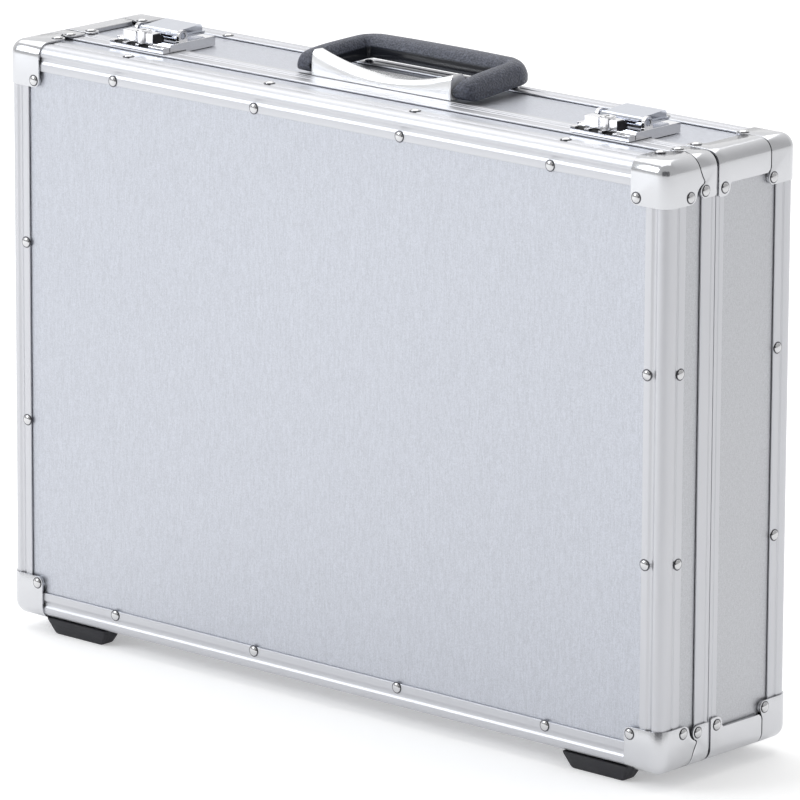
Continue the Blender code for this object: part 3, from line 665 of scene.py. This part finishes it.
def placed(name, bm, shell, corner):
    """A copy of a piece from corner coordinates at one corner of one shell."""
    copy = bm.copy()
    for vert in copy.verts:
        a, v, b = vert.co
        vert.co = corner_point(corner, a, shell_v(shell, v), b)
    return mesh_of(name, copy, smooth=30)


def corners():
    """Caps of each kind, made once and placed at the four corners."""
    made = []  # name, the shell that v is measured from, the shell that carries it, mesh
    for shell in ("lid", "base"):
        face, wall = ball_outlines(shell)
        steps = [("INTERSECT", prism(face, -FAR / 4, 3 * FAR, along_v)), ("INTERSECT", mitred(wall))]
        steps += [("UNION", boss) for boss in bosses(BALL_RIVET_V[shell])]
        made.append((f"{shell}_ball_corner", shell, shell, carved("ball", corner_sheet(), steps, SHEET_EDGE)))
    steps = [("INTERSECT", mitred(rim_cap_outline()))]
    sheet = angle_sheet(15 * MM, 45 * MM, SHEET_THICK)
    made.append(("lid_rim_corner", "lid", "lid", carved("rim_cap", sheet, steps, SHEET_EDGE)))
    backing = angle_sheet(45.4 * MM, DEPTH - 21.7 * MM, CAP_OUTER + BOARD_OUT - BOARD_GAP)
    steps = [("UNION", backing), ("INTERSECT", mitred(angle_outline()))]
    sheet = angle_sheet(30 * MM, 90 * MM, SHEET_THICK)
    made.append(("base_corner_angle", "lid", "base", carved("angle", sheet, steps, SHEET_EDGE)))
    for stem, measured_from, shell, bm in made:
        for corner in CORNERS:
            node = f"{stem}_{corner}"
            mesh = placed(f"{node}_cap", bm, measured_from, corner)
            piece(f"{node}_cap", mesh, CAP, f"{shell}_shell", "pressed_cap", node)
        bm.free()


# ---------------------------------------------------------------- rivets
def add_rivet(bm, point, normal):
    """A low domed head with a rolled rim. The rim's faces take the second material: near-black, a painted
    shadow ring.
    """
    profile = [(1.06, -0.25), (1.06, 0.1), (0.9, 0.08), (0.88, 0.3), (0.8, 0.52), (0.66, 0.72)]
    profile += [(0.48, 0.87), (0.26, 0.97)]
    # Faces below this level are painted near-black as a shadow ring.
    shadow_ring_levels = 3
    sides = 20
    turn = Vector((0, 0, 1)).rotation_difference(normal).to_matrix()
    rings = []
    for radius, rise in profile:
        ring = []
        for k in range(sides):
            angle = 2 * math.pi * k / sides
            out = radius * RIVET_RADIUS
            local = Vector((math.cos(angle) * out, math.sin(angle) * out, rise * RIVET_HEIGHT))
            ring.append(bm.verts.new(point + turn @ local))
        rings.append(ring)
    for level, (first, second) in enumerate(zip(rings, rings[1:])):
        for i in range(sides):
            j = (i + 1) % sides
            face = bm.faces.new((first[i], first[j], second[j], second[i]))
            face.material_index = 1 if level < shadow_ring_levels else 0
    tip = bm.verts.new(point + turn @ Vector((0, 0, RIVET_HEIGHT)))
    for i in range(sides):
        bm.faces.new((rings[-1][i], rings[-1][(i + 1) % sides], tip))
    bm.faces.new(rings[0][::-1])


def rivets():
    """Rivets along the flanges and in the caps, as one piece on each shell."""
    across_step, upright_step = 51 * MM, 49.5 * MM
    face_inset, wall_inset = 11.6 * MM, 12.2 * MM
    across = [count * across_step for count in (-3, -1, 1, 3)]
    upright = [MIDDLE + sign * upright_step for sign in (-1, 1)]
    for shell in ("lid", "base"):
        outward = Vector((0, -1 if shell == "lid" else 1, 0))
        bm = bmesh.new()
        for side in SIDES:
            wall_normal = side_point(side, -1, 0, 0) - side_point(side, 0, 0, 0)
            for t in across if side in ("top", "bottom") else upright:
                add_rivet(bm, side_point(side, face_inset, shell_v(shell, 0), t), outward)
                add_rivet(bm, side_point(side, 0, shell_v(shell, wall_inset), t), wall_normal)
        face_v = shell_v(shell, -CAP_OUTER)
        rim_rivet = RIM_RIVET if shell == "lid" else ANGLE_RIVET
        walls = [(shell_v(shell, BALL_RIVET_V[shell]), RIVET_INSET), rim_rivet]
        for corner, (sx, sz) in CORNERS.items():
            add_rivet(bm, corner_point(corner, RIVET_INSET, face_v, RIVET_INSET), outward)
            for v, inset in walls:
                add_rivet(bm, corner_point(corner, -CAP_OUTER, v, inset), Vector((sx, 0, 0)))
                add_rivet(bm, corner_point(corner, inset, v, -CAP_OUTER), Vector((0, 0, sz)))
        mesh = mesh_of(f"{shell}_rivets", bm, 50)
        obj = piece(f"{shell}_rivets", mesh, RIVET, f"{shell}_shell", "chrome")
        # The second slot holds the near-black painted shadow ring.
        obj.data.materials.append(RIVET_SHADOW_RING)


# ---------------------------------------------------------------- handle
# The handle's axis, in millimetres from the lid's face and over the case's top.
PIVOT_V, PIVOT_RISE = 47.0, 5.2

# Cross-section of the grip, from the inner bottom: (share across, share of the way up). Across is -1 on the
# inside and 1 at the outer edge. Up is 0 at the bottom, 1 at the outer edge's height and 2 at the top.
GRIP_SHAPE = [
    Vector(point)
    for point in (
        (-0.8, 0.0),
        (0.0, 0.0),
        (0.78, 0.04),
        (0.97, 0.2),
        (1.0, 0.5),
        (1.0, 0.88),
        (0.96, 1.06),
        (0.88, 1.3),
        (0.7, 1.62),
        (0.38, 1.88),
        (-0.05, 2.0),
        (-0.45, 1.93),
        (-0.76, 1.68),
        (-0.93, 1.3),
        (-1.0, 0.9),
        (-1.0, 0.3),
        (-0.94, 0.05),
    )
]
GLOSS_ACROSS = -0.94  # the inner wall lies past this share across, and is glossy


def grip_line():
    """Stations from a knuckle, along one arm and round its bend, to the middle of the crossbar.

    Each is (x, v, heading in degrees, half width, bottom, edge height, top), in millimetres.
    """
    arm_x, back_x = 56.0, 53.5
    back_v = (high("handle_grip").y - FRONT) / MM - 9
    bend, half_arm = 10.0, 6.3
    knuckle = [(42.3, 3.3, 4.3, 5.5, 7.1), (42.7, 4.2, 3.4, 5.3, 8.1), (43.4, 4.9, 2.5, 5.1, 9.2)]
    knuckle += [(44.2, 5.4, 1.8, 4.9, 10.1), (45.2, 5.8, 1.2, 4.8, 10.9), (46.5, 6.05, 0.8, 4.8, 11.5)]
    arm = [(48.2, 6.2, 0.6, 4.8, 12.0), (53.0, 6.3, 0.9, 5.4, 12.8), (64.0, 6.3, 1.5, 6.1, 13.8)]
    line = []
    for v, half, *heights in knuckle + arm:
        x = arm_x + (back_x - arm_x) * (v - PIVOT_V) / (back_v - PIVOT_V)
        inward = half_arm - half  # the inner side stays flat beside the saddle
        line.append(Vector((x - inward, v, 90, half, *heights)))
    steps = 8
    for k in range(steps + 1):
        share = k / steps
        lean = math.radians(90 * share)
        x, v = back_x - bend + bend * math.cos(lean), back_v - bend + bend * math.sin(lean)
        heights = (2.6 + share, 7.5 + 0.7 * share, 14.8 + 0.6 * share)
        line.append(Vector((x, v, 90 + 90 * share, half_arm + 2.1 * share, *heights)))
    line += [Vector((20, back_v, 180, 9.0, 3.7, 8.4, 15.7)), Vector((0, back_v, 180, 9.0, 3.7, 8.4, 15.75))]
    return smooth_line(line, 3)


def handle_grip():
    """Carrying grip: an arm from each knuckle, tight bends and a fuller crossbar."""
    one_half = grip_line()
    other_half = [Vector((-x, v, 360 - heading, *rest)) for x, v, heading, *rest in one_half[-2::-1]]
    shape = smooth_loop(GRIP_SHAPE, 3)
    sections = []
    for x, v, heading, across, bottom, edge, top in one_half + other_half:
        lean = math.radians(heading - 90)
        side = Vector((math.cos(lean), math.sin(lean), 0))
        centre = Vector((x * MM, FRONT + v * MM, TOP))
        section = []
        for out, up in shape:
            height = bottom + (edge - bottom) * up if up < 1 else edge + (top - edge) * (up - 1)
            section.append(centre + side * out * across * MM + Vector((0, 0, height * MM)))
        sections.append(section)
    mesh = mesh_of("grip", sweep(sections), 60)
    gloss = mesh.attributes.new("gloss", "FLOAT", "POINT")
    for index, value in enumerate(gloss.data):
        value.value = 1.0 if shape[index % len(shape)].x < GLOSS_ACROSS else 0.0
    piece("grip", mesh, GRIP, "handle", "black_plastic", "handle_grip")


def saddle_outline(share):
    """(v, height) in mm at a share of the saddle's half length: high at the ends, wide in the middle."""
    crown, rear, bench = 5.4 + 8.2 * share**2, 66.5 - 7 * share**2, 3.5 + 0.8 * share**2
    points = [(42.2, 0.3), (42.25, crown * 0.3), (42.5, crown * 0.62), (43.3, crown * 0.9), (45.0, crown)]
    points += [(48.5, crown), (51.2, crown * 0.975), (53.4, bench + (crown - bench) * 0.72)]
    points += [(55.6, bench + (crown - bench) * 0.27), (58.2, bench + 0.1)]
    points += [(rear - 2.2, bench - 0.3), (rear - 0.8, bench * 0.7), (rear, 0.3)]
    return [Vector(point) for point in points]


def handle_saddle():
    """Silver saddle: a skirt with a hollowed top line, a flat bench behind it, and a stub at each end."""
    half, stub_end, stub_overlap, stub_radius = 48.6 * MM, 54 * MM, 4 * MM, 1.2 * MM
    sections = []
    steps = 40
    for k in range(steps + 1):
        share = -1 + 2 * k / steps
        line = smooth_line(saddle_outline(share), 4)
        sections.append([Vector((share * half, FRONT + p.x * MM, TOP + max(p.y, 0.3) * MM)) for p in line])
    stubs = []
    for sx in (-1, 1):
        outline = arc((FRONT + PIVOT_V * MM, TOP + PIVOT_RISE * MM), stub_radius, 0, 345, 23)
        ends = sorted((sx * (half - stub_overlap), sx * stub_end))
        stubs.append(("UNION", prism(outline, *ends, lambda y, z, t: (t, y, z))))
    bm = carved("saddle", sweep(sections), stubs, 0.6 * MM, angle=60)
    piece("saddle", mesh_of("saddle", bm, 50), SADDLE, "base_shell", "silver_plastic", "handle_base")


# ---------------------------------------------------------------- feet
def foot_ring(node, width, depth, z):
    """Rounded rectangle at one height, at a share of the foot's width and depth."""
    box_low, box_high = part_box(node)
    centre, half = (box_low + box_high) / 2, (box_high - box_low) / 2
    corner = 1.2 * MM
    points = []
    for sx, sy, first in ROUND_CORNERS:
        x = centre.x + sx * (half.x * width - corner)
        y = centre.y + sy * (half.y * depth - corner)
        points += arc((x, y), corner, first, first + 90, 4)
    return [Vector((x, y, z)) for x, y in points]


def feet():
    """Rubber feet that taper downwards."""
    for place in ("front_left", "front_right", "rear_left", "rear_right"):
        node = f"foot_{place}"
        top, bottom = high(node).z, low(node).z
        levels = [(1.0, 1.0, top), (0.985, 0.98, top - 1.2 * MM), (0.83, 0.73, bottom + 1.4 * MM)]
        levels += [(0.80, 0.68, bottom + 0.5 * MM), (0.765, 0.60, bottom)]
        mesh = mesh_of(f"{node}_rubber", sweep([foot_ring(node, *level) for level in levels]), 35)
        body = "lid_shell" if place.startswith("front") else "base_shell"
        piece(f"{node}_rubber", mesh, RUBBER, body, "foot_rubber", node)


# ---------------------------------------------------------------- linings
LINING_THICK = 1.5 * MM
LINING_ROUND = 5 * MM  # corner radius of the piping
RIM_GAP = 0.6 * MM  # the cloth stops this far under the CAD tray's rim


def sewn(distance):
    """Share by which a line of stitching draws the padding in, at a distance from the lining's edge."""
    inset, width = 13 * MM, 1.6 * MM
    return math.exp(-(((distance - inset) / width) ** 2))


def lining_floor(bm, half_x, half_z, outer_y, inward):
    """Softly crowned padding with a line of stitching near its edge. Returns its border in order."""
    steps_x, steps_z = 46, 32
    puff, pull = 1.4 * MM, 0.5 * MM

    def point(i, j):
        x, z = -1 + 2 * i / steps_x, -1 + 2 * j / steps_z
        crown = (1 - x**8) * (1 - z**8)
        tuck = min(1.0, sewn((1 - abs(x)) * half_x) + sewn((1 - abs(z)) * half_z))
        rise = LINING_THICK + puff * crown - pull * tuck
        return Vector((x * half_x, outer_y + inward * rise, MIDDLE + z * half_z))

    grid = [[bm.verts.new(point(i, j)) for j in range(steps_z + 1)] for i in range(steps_x + 1)]
    for i in range(steps_x):
        for j in range(steps_z):
            bm.faces.new((grid[i][j], grid[i + 1][j], grid[i + 1][j + 1], grid[i][j + 1]))
    border = [column[0] for column in grid]
    border += grid[-1][1:]
    border += [column[-1] for column in grid[-2::-1]]
    return border + grid[0][-2:0:-1]


def linings():
    """Cloth-covered trays: a padded floor with upright sides, and piping round the rim."""
    for shell in ("lid", "base"):
        node = f"{shell}_lining"
        box_low, box_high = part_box(node)
        outer_y, inward = (box_low.y, 1) if shell == "lid" else (box_high.y, -1)
        half_x, half_z = box_high.x - LINING_THICK, (box_high.z - box_low.z) / 2 - LINING_THICK
        rim = outer_y + inward * (box_high.y - box_low.y - RIM_GAP)
        bm = bmesh.new()
        border = lining_floor(bm, half_x, half_z, outer_y, inward)
        rings = [border]
        for spread, y in ((0.0, rim), (LINING_THICK, rim), (LINING_THICK, outer_y)):
            ring = []
            for vert in border:
                x = vert.co.x * (half_x + spread) / half_x
                z = MIDDLE + (vert.co.z - MIDDLE) * (half_z + spread) / half_z
                ring.append(bm.verts.new((x, y, z)))
            rings.append(ring)
        for first, second in zip(rings, rings[1:]):
            for i in range(len(border)):
                j = (i + 1) % len(border)
                bm.faces.new((first[i], second[i], second[j], first[j]))
        bm.faces.new(rings[-1])
        mesh = mesh_of(f"{shell}_cloth", bm, 50)
        obj = piece(f"{shell}_cloth", mesh, FABRIC, f"{shell}_shell", "lining_fabric", node)
        piping(shell, half_x, half_z, rim)


def piping(shell, half_x, half_z, y):
    """Round binding along the lining's edge."""
    radius, sides, steps = 0.9 * MM, 10, 6
    turns = [2 * math.pi * k / sides for k in range(sides)]
    sections = []
    for sx, sz, first in ROUND_CORNERS:
        middle = Vector((sx * (half_x - LINING_ROUND), y, MIDDLE + sz * (half_z - LINING_ROUND)))
        for k in range(steps + 1):
            angle = math.radians(first + 90 * k / steps)
            out, up = Vector((math.cos(angle), 0, math.sin(angle))), Vector((0, 1, 0))
            centre = middle + out * (LINING_ROUND + 0.3 * MM)
            sections.append([centre + (out * math.cos(t) + up * math.sin(t)) * radius for t in turns])
    mesh = mesh_of(f"{shell}_piping", sweep(sections, closed=True), 60)
    piece(f"{shell}_piping", mesh, FABRIC, f"{shell}_shell", "lining_fabric")


# ---------------------------------------------------------------- latches, hinge and stays
def insert(name, body, middle, slabs):
    """Near-black slabs of painted shade, as one piece. Each is a (v, height) outline and its ends across from
    the middle, in mm.
    """
    bm = bmesh.new()
    for outline, start, end in slabs:
        slab = prism(mm(outline), start, end, lambda v, rise, t: (middle + t * MM, FRONT + v, TOP + rise))
        mesh = mesh_of("slab", slab)
        bm.from_mesh(mesh)
        bpy.data.meshes.remove(mesh)
    piece(name, mesh_of(name, bm), LATCH_SHADOW_BLACK, body, "foot_rubber")


def paint_latch_gap_shade():
    """Near-black slabs of painted shade in the keeper's pockets, beside the lock block and under the lever's
    knuckle, where the latch's gaps are in shadow.
    """
    pocket = [(29.1, 1.25), (31.85, 1.25), (31.85, 3.1), (30.9, 3.1), (29.1, 1.85)]
    beside_lock = [(31.6, 3.9), (36.8, 3.9), (36.8, 8.2), (36.2, 8.7), (32.2, 8.7), (31.6, 8.2)]
    under_knuckle = [(37.5, 4.2), (43.2, 4.2), (43.2, 5.4), (42.4, 6.3), (37.5, 6.6)]
    pockets = [(pocket, -16.3, -10.5), (pocket, -7.4, -1.1), (pocket, 1.5, 8.4)]
    gap_shade_slabs = [(beside_lock, 8.3, 9.3), (under_knuckle, -11.5, 5.5)]
    for side in ("left", "right"):
        body = f"latch_body_{side}"
        middle = (low(body).x + high(body).x) / 2
        insert(f"pocket_shadow_fill_{side}", "lid_shell", middle, pockets)
        insert(f"latch_gap_shadow_fill_{side}", "base_shell", middle, gap_shade_slabs)


def hardware():
    """Metal pieces that keep their CAD shape."""
    for side in ("left", "right"):
        for stem in ("latch_strike", "latch_body", "lock_plug"):
            finish_node(f"{stem}_{side}", CHROME, 0.25 * MM)
        finish_node(f"latch_lever_{side}", LEVER, 0.4 * MM)
        for stem in ("base_stay_link", "lid_stay_link"):
            finish_node(f"{stem}_{side}", STEEL, 0.2 * MM)
    for node in ("hinge_leaf_lid", "hinge_leaf_base"):
        finish_node(node, STEEL, 0.12 * MM)
    finish_node("hinge_pin", STEEL)


# ---------------------------------------------------------------- stage
def stage():
    """White floor, and a dark card that only shows in reflections. Returns the card."""
    floor_mesh = bmesh.new()
    bmesh.ops.create_grid(floor_mesh, x_segments=1, y_segments=1, size=30)
    floor = linked("floor", mesh_of("floor", floor_mesh))
    paint = Surface("floor_paint", (0.84, 0.84, 0.84), 0.9, Specular_IOR_Level=0.1, Emission_Strength=0.31)
    paint.shader.inputs["Emission Color"].default_value = (1, 1, 1, 1)
    floor.data.materials.append(paint.material)

    card_mesh = bmesh.new()
    bmesh.ops.create_grid(card_mesh, x_segments=1, y_segments=1, size=0.5)
    card = linked("dark_card", mesh_of("dark_card", card_mesh))
    cloth = Surface("card_cloth", (0.15, 0.15, 0.155), 1.0, Specular_IOR_Level=0.0)
    card.data.materials.append(cloth.material)
    card.visible_camera = False
    return card


def light(name, place, aim, size, power, colour=(1, 1, 1)):
    """A rectangular area light, aimed at a point."""
    data = bpy.data.lights.new(name, "AREA")
    data.shape = "RECTANGLE"
    data.size, data.size_y = size
    data.energy = power
    data.color = colour
    obj = bpy.data.objects.new(name, data)
    bpy.context.scene.collection.objects.link(obj)
    obj.location = place
    obj.rotation_euler = (Vector(aim) - Vector(place)).to_track_quat("-Z", "Y").to_euler()


def camera():
    """Long lens from the right, above and in front of the lid."""
    place = (2.5586, -2.8660, 1.1298)
    azimuth, elevation, roll = math.radians(41.68), math.radians(14.2), math.radians(0.275)
    data = bpy.data.cameras.new("camera")
    data.sensor_width = 36
    data.lens = 337.7
    data.clip_end = 100
    obj = bpy.data.objects.new("camera", data)
    bpy.context.scene.collection.objects.link(obj)
    tilt = Matrix.Rotation(math.pi / 2 - elevation, 4, "X")
    turn = Matrix.Rotation(azimuth, 4, "Z") @ tilt @ Matrix.Rotation(roll, 4, "Z")
    obj.matrix_world = Matrix.Translation(place) @ turn
    bpy.context.scene.camera = obj
    return obj


def studio_world():
    """An even white room that is brighter low behind the case on its left."""
    world = bpy.data.worlds.new("studio")
    bpy.context.scene.world = world
    world.use_nodes = True
    nodes, links = world.node_tree.nodes, world.node_tree.links
    towards = nodes.new("ShaderNodeVectorMath")
    towards.operation = "DOT_PRODUCT"
    towards.inputs[1].default_value = Vector((-0.66, 0.72, 0.2)).normalized()
    links.new(nodes.new("ShaderNodeTexCoord").outputs["Generated"], towards.inputs[0])
    glow = nodes.new("ShaderNodeMapRange")
    glow.interpolation_type = "SMOOTHSTEP"
    for socket, value in (("From Min", 0.12), ("From Max", 0.95), ("To Min", 0.62), ("To Max", 1.0)):
        glow.inputs[socket].default_value = value
    links.new(towards.outputs["Value"], glow.inputs["Value"])
    links.new(glow.outputs["Result"], nodes["Background"].inputs["Strength"])
    nodes["Background"].inputs["Color"].default_value = (1.0, 1.0, 1.0, 1)


def lighting(card, shot):
    """A broad light above, a cooler one from the front left, and the card just behind the camera."""
    studio_world()
    light("top", (-0.7, 0.5, 2.6), (0, 0, 0.1), (3.0, 3.0), 37)
    light("key", (-1.7, -2.0, 1.6), (-0.95, -1.1, 0), (1.5, 1.5), 32, (0.93, 0.965, 1.0))
    case_middle = Vector((0, 0, 0.17))
    away = (shot.location - case_middle).normalized()
    card.location = shot.location + away * 0.7
    card.rotation_euler = away.to_track_quat("Z", "Y").to_euler()
    card.scale = (5.0, 3.4, 1)
    bpy.context.scene.view_settings.view_transform = "Standard"


# ---------------------------------------------------------------- build
def build():
    shot = camera()
    card = stage()
    lighting(card, shot)
    boards()
    extrusion_bars()
    rim_frames()
    corners()
    rivets()
    paint_latch_gap_shade()
    handle_grip()
    handle_saddle()
    feet()
    linings()
    hardware()


build()
